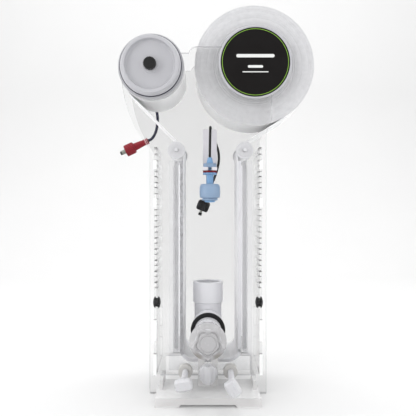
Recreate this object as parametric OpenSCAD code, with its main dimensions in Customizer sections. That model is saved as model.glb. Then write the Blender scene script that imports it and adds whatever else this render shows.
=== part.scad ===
// Automatic fleece-roller filter for an aquarium sump.
// Clean fleece comes off the large roll, dips through the chamber as a U between two
// perforated screens, and a motor winds the dirty fleece onto the take-up spool.
// +Z is up and the front faces -Y. The origin is on the ground under the middle of the body.

/* [Chamber] */
// Width of the front and back plates
chamber_w = 154; // [150:1:158]
// Depth of the chamber, over both plates
chamber_d = 100; // [96:1:110]
// Thickness of the front and back plates
plate_t = 5; // [4:0.5:6]
// Height of the underside of the chamber floor
floor_z = 24; // [24:1:25]
// Height of the top of the side walls
wall_top_z = 326; // [318:1:332]
// Height where the plates begin to flare out
neck_z = 322; // [318:1:332]

/* [Rolls] */
// Radius of the full fleece roll
roll_r = 80; // [60:1:82]
// Sideways place of the supply roll's axis
supply_x = 62; // [58:1:66]
// Height of the supply roll's axis
supply_z = 436; // [430:1:444]
// Radius of the fleece wound on the take-up spool
wrap_r = 43.5; // [40:0.5:44]
// Sideways place of the take-up axis
takeup_x = -75; // [-80:1:-70]
// Height of the take-up axis
takeup_z = 431; // [425:1:440]
// Radius of the two guide rollers
roller_r = 8.7; // [8:0.1:10]
// Distance between the guide rollers' axes
roller_pitch = 91; // [88:1:94]
// Height of the guide rollers' axes
roller_z = 322; // [318:1:330]
// Width of the fleece
fleece_w = 80; // [70:1:82]

/* [Inlet] */
// Outside radius of the inlet pipe
pipe_r = 16; // [15.5:0.1:16.5]
// Height of the front inlet's axis
inlet_z = 84; // [83:1:90]
// Height of the top of the elbow's upright socket
socket_top_z = 142; // [139:1:150]
// How far the lobed nut stands out in front of the chamber
nut_reach = 74; // [70:1:79]

/* [Float switch] */
// Sideways place of the float switch
float_x = 2.5; // [-2:0.5:6]
// Radius of the float
float_r = 14; // [12:0.5:15]
// Height of the float
float_h = 22.4; // [18:0.2:23]

/* [Stand] */
// Width of the front foot
foot_w = 131; // [128:1:134]
// How far the foot stands out in front of the chamber
foot_reach = 51; // [45:1:60]
// Height of the foot's tread
foot_h = 11.4; // [10:0.2:12]
// How far the left thumb screw's head stands out
screw_reach_left = 68; // [64:1:70]
// How far the right thumb screw's head stands out
screw_reach_right = 80; // [80:1:84]

/* [Hidden] */
$fn = 48;
big = 400;                 // longer than any cut needs
run_gap = 0.07;            // clearance of a shaft that turns or slides in its hole
back_y = chamber_d;        // rear face of the back plate
mid_y = chamber_d / 2;
in_y0 = plate_t;           // the gap between the plates
in_y1 = chamber_d - plate_t;
fleece_y0 = mid_y - fleece_w / 2;
fleece_y1 = mid_y + fleece_w / 2;

// The body's box, which sets the origin
motor_len = 46;
motor_y0 = back_y + 4;
motor_y1 = motor_y0 + motor_len;
origin_x = (supply_x + roll_r + takeup_x - wrap_r) / 2;
origin_y = (motor_y1 - screw_reach_right) / 2;

// Plates
lobe_r = 40;
valley_z = 450;            // top edge between the two lobes
shoulder_z = 458.3;        // top edge on the supply side
shoulder_x0 = -25.5;
shoulder_x1 = 84.5;
shoulder_foot_z = 362;
shoulder_round = 10;
leg_w = 14;
flare_dx = lobe_r - takeup_x - chamber_w / 2;
flare_dz = takeup_z - neck_z;
flare_r = (flare_dx * flare_dx + flare_dz * flare_dz) / (2 * flare_dx);

// Side walls
wall_t = 4;
wall_x = 70;               // middle of each side wall
tabs = [[38, 28], [83, 28], [252, 12], [302, 12]];   // middle height and length of each tab
slot_rows = 13;
slot_pitch = 15;
slot_z0 = 141;
slot_h = 8;
slot_l = 22;
slot_columns = 3;
slot_step_y = 28;
grommet_z = 116;
grommet_y = 27;

// Fleece path: everything is set out from its centreline in the XZ plane
cart_x = 3.3;              // middle of the fleece carriage
fleece_t = 0.8;
web_gap = 0.15;            // between the fleece and what turns under it
web_off = web_gap + fleece_t / 2;
left_roller = [cart_x - roller_pitch / 2, roller_z];
right_roller = [cart_x + roller_pitch / 2, roller_z];
supply = [supply_x, supply_z];
takeup = [takeup_x, takeup_z];
roll_line_r = roller_r + web_off;
bed_z = 44;                // the fleece's lowest run
bed_corner_r = 12;
bed_half = roller_pitch / 2 - roll_line_r;
web_lead = 2;              // straight fleece at each end of the bed

// Carriage
cart_t = 3;
cart_y0 = 6;
cart_y1 = chamber_d - 6;
cart_top_z = 308;
cart_half_w = 55.5;
screen_t = 4;
screen_off = fleece_t / 2 + 0.1;   // the screens' faces, from the fleece's centreline
screen_joint = 0.3;        // gap between the bent screen and the upright ones
bar_w = 5;

// Rolls
roller_cap_r = 11.7;
roller_cap_t = 3.8;
roller_axle_r = 2.5;
core_r = 20;
spindle_r = 17;
hub_r = 48;
hub_t = 6;
hub_gap = 1.5;
label_r = 45.5;
label_t = 1;
drum_r = 36;
cap_r = 39.9;              // the take-up cap narrows to its front rim
cap_front_r = 37.4;
cap_flange_r = 43.3;
cap_recess_r = 33;
cap_t = 17;
cap_gap = 2;
shaft_r = 4;
spool_nut_r = 8.4;
spool_nut_face_t = 1.2;

// Inlet
elbow_r = 19;
socket_r = 21;
socket_depth = 24;
bore_r = 14;
grommet_r = 22.8;
inlet_hole_r = 19.5;
collar_r = 17.6;           // collar on the tailpiece, in front of the rubber ring
nut_r = 22.4;              // union nut: round head, tapered skirt and plain raised face
nut_head_t = 16;
nut_skirt_l = 29;
nut_face_r = 12.6;
nut_lobes = 5;

// Float switch
float_y = 22;
shelf_t = 4;
shelf_slot_w = 4.8;        // the way in from the front for the switch's neck
shelf_z = 295.5;
strip_y = 36;              // the bracket's upright strip stands behind the float
strip_t = 3;
strip_top_z = 354;
float_z = 255.2;
stem_r = 4.9;

// Thumb screws and stand
screw_z = 31.2;
screw_x = 29.5;
screw_r = 4;
boss_r = 9.3;
boss_t = 10;
head_l = 16;
neck_r = 5;
neck_l = 8;
long_shaft_l = 48.9;
tongue_t = 4;
tongue_gap = 0.2;
tongue_top_z = 60;
clamp_reach = tongue_gap + tongue_t + head_l + neck_l;  // the centre screw bears on the tongue
foot_back_y = 25;
foot_travel = 20;

// Free cords. Their routes are in the chamber's own frame: x, y and height.
motor_cord_r = 2.2;
motor_cord = [
    [-81, 128, 406], [-80, 128, 398], [-78.8, 127.8, 390], [-78.2, 127, 382],
    [-78.6, 125, 374], [-79.6, 122, 366], [-82, 119, 358], [-86.3, 116, 351], [-91.4, 115, 348]
];
motor_plug_dir = 205;      // heading of the plug's axis, degrees round from +X towards +Z
plug_boot_l = 23;
plug_nut_l = 15;
float_cord_r = 1.75;
float_cord = [
    [2.5, 22, 313.6], [2.6, 22, 324], [2.8, 22.5, 336], [3, 25, 347], [3.1, 30, 354.5],
    [3.3, 37.5, 357.3], [4.2, 44, 354], [7, 47, 346], [11, 48, 336], [14, 48, 327],
    [15.3, 48, 318], [14.8, 48, 308], [12.8, 47.5, 299], [10, 47, 290], [6.5, 46, 281],
    [2.5, 45, 272.5], [-0.7, 43.5, 265], [-2.6, 42, 258.6]
];
plug_tilt = 21;
cord_steps = 2;

// ---------- helpers ----------

// Puts a piece made in the chamber's frame into the part's frame
module placed() {
    translate([-origin_x, -origin_y, 0]) children();
}

// Extrudes an outline drawn as [x, height] from y0 back to y1
module plate_y(y0, y1) {
    translate([0, y1, 0]) rotate([90, 0, 0]) linear_extrude(y1 - y0) children();
}

// Extrudes an outline drawn as [y, height] from x0 to x1
module plate_x(x0, x1) {
    translate([x0, 0, 0]) rotate([90, 0, 90]) linear_extrude(x1 - x0) children();
}

// Round bar along Y at [x, height]
module bar_y(at, r, y0, y1, r_end = -1) {
    translate([at[0], y1, at[1]])
        rotate([90, 0, 0])
            cylinder(r1 = r_end < 0 ? r : r_end, r2 = r, h = y1 - y0);
}

// Round bar along Y with a round hole through it
module tube_y(at, r_out, r_in, y0, y1) {
    difference() {
        bar_y(at, r_out, y0, y1);
        bar_y(at, r_in, y0 - 1, y1 + 1);
    }
}

// Rectangle with rounded corners
module rounded_square(x0, z0, x1, z1, r) {
    translate([x0 + r, z0]) square([x1 - x0 - 2 * r, z1 - z0]);
    translate([x0, z0 + r]) square([x1 - x0, z1 - z0 - 2 * r]);
    for (x = [x0 + r, x1 - r], z = [z0 + r, z1 - r]) translate([x, z]) circle(r);
}

// Slot with round ends, lying along the outline's first axis
module slot(at, l, h) {
    translate([at[0] - l / 2 + h / 2, at[1] - h / 2]) square([l - h, h]);
    for (side = [-1, 1]) translate([at[0] + side * (l - h) / 2, at[1]]) circle(h / 2);
}

function polar(c, r, a) = c + r * [cos(a), sin(a)];
function arc(c, r, a0, a1, n = 12) = [for (i = [0:n]) polar(c, r, a0 + (a1 - a0) * i / n)];
function heading(v) = atan2(v[1], v[0]);
function unit(v) = v / norm(v);

// Direction from roll a's centre to where a belt leaves it, when the belt then passes
// to the other side of roll b
function leave_angle(a, ra, b, rb, side) =
    heading(b - a) + side * acos((ra + rb) / norm(b - a));

// Normal of a path at point i
function path_normal(p, i) =
    let (d = unit(p[min(i + 1, len(p) - 1)] - p[max(i - 1, 0)])) [-d[1], d[0]];

// Band of thickness t along a path
function ribbon(p, t) = concat(
    [for (i = [0:len(p) - 1]) p[i] + path_normal(p, i) * t / 2],
    [for (i = [len(p) - 1:-1:0]) p[i] - path_normal(p, i) * t / 2]
);

// The lower U of the fleece, moved outward by off, between its two upright runs
function bed_corners(off) = let (r = bed_corner_r + off, x = bed_half - bed_corner_r) concat(
    arc([cart_x - x, bed_z + bed_corner_r], r, 180, 270),
    arc([cart_x + x, bed_z + bed_corner_r], r, 270, 360)
);

// Smooth curve through a cord's points
function spline_at(a, b, c, d, t) =
    (2 * b + (c - a) * t + (2 * a - 5 * b + 4 * c - d) * t * t
        + (3 * b - a - 3 * c + d) * t * t * t) / 2;
function spline(p) = let (n = len(p) - 1) concat(
    [for (i = [0:n - 1], s = [0:cord_steps - 1])
        spline_at(p[max(i - 1, 0)], p[i], p[i + 1], p[min(i + 2, n)], s / cord_steps)],
    [p[n]]
);

// Tube of the given radius swept along a route; ref is a direction it never follows
module swept_tube(route, r, sides, ref) {
    p = spline(route);
    n = len(p);
    function side(i) = unit(cross(p[min(i + 1, n - 1)] - p[max(i - 1, 0)], ref));
    function up(i) = unit(cross(side(i), p[min(i + 1, n - 1)] - p[max(i - 1, 0)]));
    points = [for (i = [0:n - 1], k = [0:sides - 1])
        p[i] + r * (side(i) * cos(360 * k / sides) + up(i) * sin(360 * k / sides))];
    walls = [for (i = [0:n - 2], k = [0:sides - 1]) let (m = (k + 1) % sides)
        [i * sides + k, i * sides + m, (i + 1) * sides + m, (i + 1) * sides + k]];
    first = [for (k = [sides - 1:-1:0]) k];
    last = [for (k = [0:sides - 1]) (n - 1) * sides + k];
    polyhedron(points, concat([first], walls, [last]), convexity = 6);
}

// ---------- chamber ----------

// Outline shared by the two big plates
module plate_outline() {
    difference() {
        union() {
            translate([-chamber_w / 2, 0]) square([chamber_w, valley_z]);
            translate(takeup) circle(lobe_r);
            intersection() {
                translate([takeup_x - lobe_r + flare_r, takeup_z]) circle(flare_r, $fn = 180);
                translate([takeup_x - lobe_r, neck_z]) square([lobe_r, flare_dz]);
            }
            rounded_square(shoulder_x0, shoulder_foot_z, shoulder_x1, shoulder_z, shoulder_round);
            translate([0, shoulder_foot_z]) square([shoulder_x1, shoulder_round]);
            polygon([[chamber_w / 2 - 1, shoulder_foot_z - 18], [chamber_w / 2, shoulder_foot_z - 18],
                [shoulder_x1, shoulder_foot_z], [chamber_w / 2 - 1, shoulder_foot_z]]);
        }
        translate([leg_w - chamber_w / 2, -1]) square([chamber_w - 2 * leg_w, floor_z + 1]);
    }
}

// Slots that the side walls' tabs fit into
module tab_slots() {
    for (side = [-1, 1], tab = tabs)
        translate([side * wall_x - wall_t / 2, tab[0] - tab[1] / 2]) square([wall_t, tab[1]]);
}

module front_plate() {
    color([0.86, 0.88, 0.89, 0.4]) placed() plate_y(0, plate_t) difference() {
        plate_outline();
        tab_slots();
        translate([0, inlet_z]) circle(inlet_hole_r);
        translate(supply) circle(spindle_r + 4);
        translate(takeup) circle(shaft_r + 5);
        for (at = [left_roller, right_roller]) translate(at) circle(roller_axle_r);
        for (x = [-screw_x, 0, screw_x]) translate([x, screw_z]) circle(screw_r + run_gap);
    }
}

module back_plate() {
    color([0.86, 0.88, 0.89, 0.4]) placed() plate_y(in_y1, back_y) difference() {
        plate_outline();
        tab_slots();
        translate(takeup) circle(shaft_r + 3);
        for (at = [left_roller, right_roller]) translate(at) circle(roller_axle_r);
        for (a = [90:120:330]) translate(polar(takeup, 21, a)) circle(1.5);
    }
}

// Upright wall with rows of outlet slots; its tabs pass through both plates
module side_wall(side) {
    x = side * wall_x;
    color([0.84, 0.87, 0.89, 0.5]) placed() plate_x(x - wall_t / 2, x + wall_t / 2) difference() {
        union() {
            translate([in_y0, floor_z]) square([in_y1 - in_y0, wall_top_z - floor_z]);
            for (tab = tabs) translate([0, tab[0] - tab[1] / 2]) square([chamber_d, tab[1]]);
        }
        for (row = [0:slot_rows - 1], column = [0:slot_columns - 1])
            slot([mid_y + (column - 1) * slot_step_y, slot_z0 + row * slot_pitch], slot_l, slot_h);
        translate([grommet_y, grommet_z]) circle(6);
    }
}

module side_wall_left() { side_wall(-1); }
module side_wall_right() { side_wall(1); }

module chamber_floor() {
    half = wall_x - wall_t / 2;
    color([0.84, 0.87, 0.89, 0.5]) placed()
        translate([-half, in_y0, floor_z]) cube([2 * half, in_y1 - in_y0, plate_t]);
}

// Black rubber grommets, one in each side wall
module side_grommets() {
    color("black") placed() for (side = [-1, 1])
        translate([side * wall_x, grommet_y, grommet_z]) rotate([0, 90, 0]) rotate_extrude()
            polygon([[2, -5], [8, -5], [8, -2], [6, -2], [6, 2], [8, 2], [8, 5], [2, 5]]);
}

// Tapped bosses glued to the front plate for the long thumb screws
module screw_bosses() {
    color([0.55, 0.55, 0.53]) placed() for (x = [-screw_x, screw_x])
        tube_y([x, screw_z], boss_r, screw_r + run_gap, -boss_t, 0);
}

// ---------- fleece carriage ----------

// U-shaped end frame; the fleece passes inside it
module carriage_frame(y0) {
    opening = concat([[cart_x - bed_half - screen_off, big]], bed_corners(screen_off),
        [[cart_x + bed_half + screen_off, big]]);
    color([0.78, 0.81, 0.84, 0.6]) placed() plate_y(y0, y0 + cart_t) difference() {
        translate([cart_x - cart_half_w, floor_z + plate_t])
            square([2 * cart_half_w, cart_top_z - floor_z - plate_t]);
        polygon(opening);
    }
}

module carriage_front() { carriage_frame(cart_y0); }
module carriage_rear() { carriage_frame(cart_y1 - cart_t); }

// Perforated board that backs one upright run of the fleece
module side_screen(side) {
    x = cart_x + side * (bed_half + screen_off + screen_t / 2);
    z0 = bed_z + bed_corner_r + screen_joint;
    color([0.80, 0.83, 0.86, 0.7]) placed() plate_x(x - screen_t / 2, x + screen_t / 2)
        difference() {
            translate([cart_y0 + cart_t, z0])
                square([cart_y1 - cart_y0 - 2 * cart_t, cart_top_z - z0]);
            for (row = [0:15], column = [-1:1])
                slot([mid_y + column * 26, z0 + 14 + row * 15], 20, 6);
        }
}

module screen_left() { side_screen(-1); }
module screen_right() { side_screen(1); }

// Bent, perforated bottom of the U
module screen_bottom() {
    color([0.80, 0.83, 0.86, 0.7]) placed() difference() {
        plate_y(cart_y0 + cart_t, cart_y1 - cart_t)
            polygon(ribbon(bed_corners(screen_off + screen_t / 2), screen_t));
        for (x = [-16:16:16], y = [-26:26:26])
            translate([cart_x + x, mid_y + y, bed_z - screen_t - 2]) linear_extrude(screen_t + 2)
                rotate(90) slot([0, 0], 20, 6);
    }
}

// Square bars that tie the two end frames together
module guide_bars() {
    color([0.55, 0.58, 0.60]) placed()
        for (at = [left_roller, right_roller], y = [cart_y0 + cart_t, cart_y1 - cart_t - bar_w])
            translate([at[0] - bar_w / 2, y, bed_z + bed_corner_r])
                cube([bar_w, bar_w, cart_top_z - bed_z - bed_corner_r]);
}

// ---------- guide rollers ----------

module roller_axles() {
    color("white") placed() for (at = [left_roller, right_roller])
        bar_y(at, roller_axle_r, 0.5, back_y - 0.5);
}

module guide_roller(at) {
    color([0.9, 0.9, 0.9]) placed()
        tube_y(at, roller_r, roller_axle_r + run_gap, in_y0 + 0.3 + roller_cap_t,
            in_y1 - 0.3 - roller_cap_t);
}

module guide_roller_left() { guide_roller(left_roller); }
module guide_roller_right() { guide_roller(right_roller); }

// White end caps, pressed on a roller
module roller_caps(at) {
    color("white") placed() for (y = [in_y0 + 0.3, in_y1 - 0.3 - roller_cap_t])
        tube_y(at, roller_cap_r, roller_axle_r + run_gap, y, y + roller_cap_t);
}

module roller_caps_left() { roller_caps(left_roller); }
module roller_caps_right() { roller_caps(right_roller); }

// ---------- fleece ----------

supply_leave = leave_angle(supply, roll_r + web_off, right_roller, roll_line_r, 1);
takeup_leave = leave_angle(takeup, wrap_r + web_off, left_roller, roll_line_r, -1);

feed_line = [polar(supply, roll_r + web_off, supply_leave),
    polar(right_roller, roll_line_r, supply_leave + 180)];
return_line = [polar(takeup, wrap_r + web_off, takeup_leave),
    polar(left_roller, roll_line_r, takeup_leave + 180)];

// Point where a straight run ends and the bed begins
function bed_end(line) = line[1] + unit(line[0] - line[1]) * web_lead;

module fleece_band(path) {
    color([0.97, 0.97, 0.96]) placed() plate_y(fleece_y0, fleece_y1)
        polygon(ribbon(path, fleece_t));
}

// Clean fleece from the roll to the right guide roller
module fleece_feed() {
    fleece_band([feed_line[0], bed_end(feed_line)]);
}

// Fleece over both guide rollers and down through the U
module fleece_bed() {
    fleece_band(concat(
        [bed_end(return_line)],
        arc(left_roller, roll_line_r, takeup_leave + 180, 0, 8),
        bed_corners(0),
        arc(right_roller, roll_line_r, 180, supply_leave + 180, 8),
        [bed_end(feed_line)]
    ));
}

// Used fleece from the left guide roller up to the take-up spool
module fleece_return() {
    fleece_band([bed_end(return_line), return_line[0]]);
}

// ---------- supply roll ----------

module fleece_roll() {
    color([0.88, 0.89, 0.90]) placed() tube_y(supply, roll_r, core_r, fleece_y0, fleece_y1);
}

module supply_core() {
    color([0.75, 0.68, 0.58]) placed()
        tube_y(supply, core_r, spindle_r + run_gap, fleece_y0, fleece_y1);
}

// Hollow spindle that pulls out to the front to free the roll
module supply_spindle() {
    color("white") placed() tube_y(supply, spindle_r, 14, -hub_gap, in_y1 - 2);
}

// Round hub on the spindle's front end, with a shallow seat for its label
module supply_hub() {
    front = -hub_gap - hub_t;
    color("white") placed() difference() {
        bar_y(supply, hub_r, front, -hub_gap);
        bar_y(supply, label_r, front - 1, front + label_t);
    }
}

module hub_label() {
    front = -hub_gap - hub_t;
    color([0.05, 0.05, 0.05]) placed() bar_y(supply, label_r, front, front + label_t);
}

// Flanged bush in the front plate
module supply_bush() {
    color([0.9, 0.9, 0.9]) placed() difference() {
        union() {
            bar_y(supply, spindle_r + 4, 0, plate_t);
            bar_y(supply, spindle_r + 8, plate_t, plate_t + 3);
        }
        bar_y(supply, spindle_r + run_gap, -1, plate_t + 4);
    }
}

// Boss on the back plate that the spindle's rear end slides onto
module spindle_boss() {
    color([0.9, 0.9, 0.9]) placed() bar_y(supply, 14 - run_gap, in_y1 - 12, in_y1);
}

// ---------- take-up spool ----------

module takeup_drum() {
    color([0.93, 0.93, 0.93]) placed() {
        tube_y(takeup, drum_r, drum_r - 3, fleece_y0 + 4, fleece_y1 - 4);
        for (y = [fleece_y0, fleece_y1 - 4]) tube_y(takeup, drum_r, shaft_r, y, y + 4);
    }
}

module takeup_wrap() {
    color([0.93, 0.93, 0.91]) placed() tube_y(takeup, wrap_r, drum_r, fleece_y0, fleece_y1);
}

// White cup in front of the plate
module takeup_cap() {
    front = -cap_gap - cap_t;
    color("white") placed() difference() {
        union() {
            bar_y(takeup, cap_front_r, front, front + 9, cap_r);
            bar_y(takeup, cap_r, front + 9, -cap_gap);
            bar_y(takeup, cap_flange_r, -cap_gap - 2, -cap_gap);
        }
        bar_y(takeup, cap_recess_r, front - 1, front + 6);
        bar_y(takeup, shaft_r, -big, big);
    }
}

// Dark rubber band round the cap
module takeup_ring() {
    color([0.08, 0.08, 0.16]) placed()
        tube_y(takeup, cap_r + 0.8, cap_r, -cap_gap - 7, -cap_gap - 4);
}

module takeup_shaft() {
    color("silver") placed() bar_y(takeup, shaft_r, -cap_gap - cap_t - 3.5, motor_y0 + 8);
}

module takeup_bush() {
    color([0.9, 0.9, 0.9]) placed()
        tube_y(takeup, shaft_r + 5, shaft_r + run_gap, 0, plate_t + 1);
}

// Knurled blind nut that holds the cap
module takeup_nut() {
    front = -cap_gap - cap_t - 5;
    ribs = 18;
    color([0.08, 0.08, 0.08]) placed() difference() {
        union() {
            bar_y(takeup, spool_nut_r - 0.6, front, front + 9.9);
            for (i = [0:ribs - 1])
                bar_y(polar(takeup, spool_nut_r - 0.8, 360 * i / ribs), 0.8, front + 1, front + 8);
        }
        bar_y(takeup, shaft_r + run_gap, front + spool_nut_face_t, front + 12);
    }
}

// ---------- motor ----------

module motor_plate() {
    color("silver") placed() plate_y(back_y, motor_y0 - 0.5) difference() {
        translate(takeup) circle(25);
        translate(takeup) circle(shaft_r + 3);
        for (a = [90:120:330]) translate(polar(takeup, 21, a)) circle(1.5);
    }
}

module motor_screws() {
    color([0.7, 0.7, 0.7]) placed() for (a = [90:120:330]) {
        bar_y(polar(takeup, 21, a), 1.5, in_y1, motor_y0 - 0.5);
        bar_y(polar(takeup, 21, a), 2.8, motor_y0 - 0.5, motor_y0 + 1.5);
    }
}

// Gearbox and motor can, with the blind hole that takes the spool's shaft
module motor_body() {
    color([0.25, 0.25, 0.27]) placed() difference() {
        union() {
            bar_y(takeup, 17.5, motor_y0 - 0.5, motor_y0 + 22);
            bar_y(takeup, 16.5, motor_y0 + 22, motor_y1);
        }
        bar_y(takeup, shaft_r + run_gap, 0, motor_y0 + 9);
    }
}

// Tapered strain relief under the motor can
module motor_gland() {
    start = motor_cord[0];
    color([0.1, 0.1, 0.14]) placed() translate(start)
        cylinder(r1 = motor_cord_r + 0.4, r2 = 4.5, h = takeup_z - 14 - start[2]);
}

module motor_cable() {
    color([0.08, 0.08, 0.2]) placed() swept_tube(motor_cord, motor_cord_r, 10, [0, 1, 0]);
}

// Puts a piece drawn along +Z onto the plug's axis, starting s along it
module on_motor_plug(s) {
    placed() translate(motor_cord[len(motor_cord) - 1])
        rotate([0, 90 - motor_plug_dir, 0]) translate([0, 0, s]) children();
}

module motor_plug_boot() {
    color([0.65, 0.12, 0.18]) on_motor_plug(0) {
        cylinder(r1 = 4, r2 = 5.9, h = plug_boot_l);
        for (z = [0, 3.5]) translate([0, 0, z]) cylinder(r = 4.8, h = 2);
    }
}

module motor_plug_nut() {
    color([0.65, 0.12, 0.18]) on_motor_plug(plug_boot_l) {
        cylinder(r1 = 7.5, r2 = 9, h = 2);
        translate([0, 0, 2]) cylinder(r = 9, h = plug_nut_l - 2);
    }
}

module motor_plug_barrel() {
    color([0.6, 0.6, 0.62]) on_motor_plug(plug_boot_l + plug_nut_l) {
        cylinder(r = 3.6, h = 7);
        translate([0, 0, 7]) cylinder(r = 3.2, h = 2);
    }
}

// ---------- inlet ----------

// Elbow behind the front plate: a leg for the tailpiece and a short upright stub
module inlet_elbow() {
    at = [0, inlet_z];
    front = in_y0 + 3;
    color([0.80, 0.83, 0.86]) placed() difference() {
        union() {
            bar_y(at, elbow_r, front, mid_y);
            bar_y(at, socket_r, front, front + 20);
            translate([0, mid_y, inlet_z]) sphere(r = elbow_r);
            translate([0, mid_y, inlet_z]) cylinder(r = elbow_r, h = elbow_r + 2);
        }
        bar_y(at, bore_r, front - 1, mid_y);
        bar_y(at, pipe_r + run_gap, front - 1, front + 22);
        translate([0, mid_y, inlet_z]) sphere(r = bore_r);
        translate([0, mid_y, inlet_z]) cylinder(r = bore_r, h = elbow_r + 3);
    }
}

// Upright coupling glued on the elbow; the supply pipe goes into its top
module inlet_riser() {
    color([0.80, 0.83, 0.86]) placed() translate([0, mid_y, 0]) difference() {
        union() {
            translate([0, 0, inlet_z + elbow_r + 2])
                cylinder(r = elbow_r, h = socket_top_z - inlet_z - elbow_r - 2);
            translate([0, 0, socket_top_z - socket_depth - 5])
                cylinder(r = socket_r, h = socket_depth + 5);
        }
        translate([0, 0, inlet_z]) cylinder(r = bore_r, h = big);
        translate([0, 0, socket_top_z - socket_depth])
            cylinder(r = pipe_r + run_gap, h = socket_depth + 1);
    }
}

// Rubber ring in the front plate
module inlet_grommet() {
    at = [0, inlet_z];
    color([0.06, 0.06, 0.06]) placed() difference() {
        union() {
            bar_y(at, grommet_r, -3.5, 0);
            bar_y(at, inlet_hole_r, 0, in_y0);
            bar_y(at, 21.5, in_y0, in_y0 + 2.8);
        }
        bar_y(at, pipe_r + run_gap, -5, in_y0 + 4);
    }
}

// Union tailpiece: it slides in the rubber ring and the elbow, and the nut turns on it
module inlet_tailpiece() {
    at = [0, inlet_z];
    color([0.78, 0.76, 0.74]) placed() difference() {
        union() {
            bar_y(at, pipe_r, -nut_reach + 5, 22);
            bar_y(at, collar_r, -22, -3.6);
        }
        bar_y(at, 13, -big, big);
    }
}

// Union nut: scallops bite into the front of its round head, behind a plain raised face
module inlet_nut() {
    at = [0, inlet_z];
    front = -nut_reach;
    head_back = front + nut_head_t;
    color([0.82, 0.80, 0.77]) placed() difference() {
        union() {
            bar_y(at, nut_face_r, front, front + 4);
            bar_y(at, nut_r, front + 2, front + 6, nut_r - 4);
            bar_y(at, nut_r, front + 6, head_back);
            translate([0, head_back + nut_skirt_l, inlet_z]) rotate([90, 0, 0]) rotate(18)
                cylinder(r1 = collar_r, r2 = nut_r - 0.7, h = nut_skirt_l + 1, $fn = 2 * nut_lobes);
        }
        for (i = [0:nut_lobes - 1])
            bar_y(polar(at, nut_r + 2.5, 90 + 360 * i / nut_lobes), 8, front - 1, front + 8);
        bar_y(at, pipe_r + run_gap, front + 5, head_back + nut_skirt_l + 1);
    }
}

// ---------- float switch ----------

// Bracket glued to the back of the front plate: a shelf that carries the switch and an
// upright strip that the lead passes over
module float_bracket() {
    half_w = 9.7;
    color([0.8, 0.83, 0.86, 0.6]) placed() difference() {
        union() {
            translate([float_x - half_w, in_y0, shelf_z])
                cube([2 * half_w, strip_y + strip_t - in_y0, shelf_t]);
            translate([float_x - half_w, strip_y, shelf_z])
                cube([2 * half_w, strip_t, strip_top_z - shelf_z]);
        }
        translate([float_x, float_y, shelf_z - 1]) cylinder(r = 5.05, h = shelf_t + 2);
        translate([float_x - shelf_slot_w / 2, in_y0 - 1, shelf_z - 1])
            cube([shelf_slot_w, float_y - in_y0, shelf_t + 2]);
    }
}

module at_float(z) {
    placed() translate([float_x, float_y, z]) children();
}

// Blue nut above the shelf, with the cone where the lead comes out
module float_gland() {
    color([0.55, 0.70, 0.84]) at_float(shelf_z + shelf_t) {
        cylinder(r = 8.8, h = 5.9, $fn = 6);
        translate([0, 0, 5.9]) cylinder(r1 = 4.8, r2 = 2.9, h = 8.2);
    }
}

module float_gasket() {
    color([0.55, 0.1, 0.12]) at_float(shelf_z - 2.6) difference() {
        cylinder(r = 9.4, h = 2.6);
        translate([0, 0, -1]) cylinder(r = 5, h = 5);
    }
}

// Hexagonal collar, threaded neck and the stem that guides the float
module float_stem() {
    top = shelf_z + shelf_t;
    color([0.55, 0.70, 0.84]) at_float(0) {
        translate([0, 0, shelf_z - 5.4]) cylinder(r = 9.4, h = 2.8, $fn = 6);
        translate([0, 0, float_z - 2.6]) cylinder(r = stem_r, h = top - float_z + 2.6);
    }
}

module float_clip() {
    color([0.55, 0.70, 0.84]) at_float(float_z - 2.2) difference() {
        cylinder(r = 7.2, h = 2.1);
        translate([0, 0, -1]) cylinder(r = stem_r, h = 5);
    }
}

// Float with a softly rounded bottom edge and a smaller radius at the top
module float() {
    inner = stem_r + run_gap;
    top_round = 2;
    bottom_round = 4.5;
    color([0.52, 0.70, 0.86]) at_float(float_z) rotate_extrude() {
        translate([inner, 0]) square([float_r - inner - bottom_round, float_h]);
        translate([float_r - bottom_round - 0.1, bottom_round])
            square([bottom_round + 0.1, float_h - bottom_round - top_round]);
        translate([float_r - bottom_round - 0.1, float_h - top_round - 0.1])
            square([bottom_round - top_round + 0.1, top_round + 0.1]);
        translate([float_r - bottom_round, bottom_round]) circle(bottom_round);
        translate([float_r - top_round, float_h - top_round]) circle(top_round);
    }
}

module float_cable() {
    color([0.05, 0.05, 0.06]) placed() swept_tube(float_cord, float_cord_r, 8, [1, 0, 0]);
}

// Connector on the end of the float's lead: boot, body, pin and round tip
module float_plug() {
    end = float_cord[len(float_cord) - 1];
    color([0.06, 0.06, 0.06]) placed() translate(end) rotate([0, 180 + plug_tilt, 0]) {
        cylinder(r1 = 3, r2 = 5, h = 5);
        translate([0, 0, 5]) cylinder(r1 = 7, r2 = 8, h = 2.5);
        translate([0, 0, 7.5]) cylinder(r = 8, h = 9);
        translate([0, 0, 16.5]) cylinder(r1 = 8, r2 = 6.5, h = 2);
        translate([0, 0, 18.5]) cylinder(r = 1.7, h = 3);
        translate([0, 0, 21.5]) cylinder(r = 2.6, h = 4);
    }
}

// ---------- foot and thumb screws ----------

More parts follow.
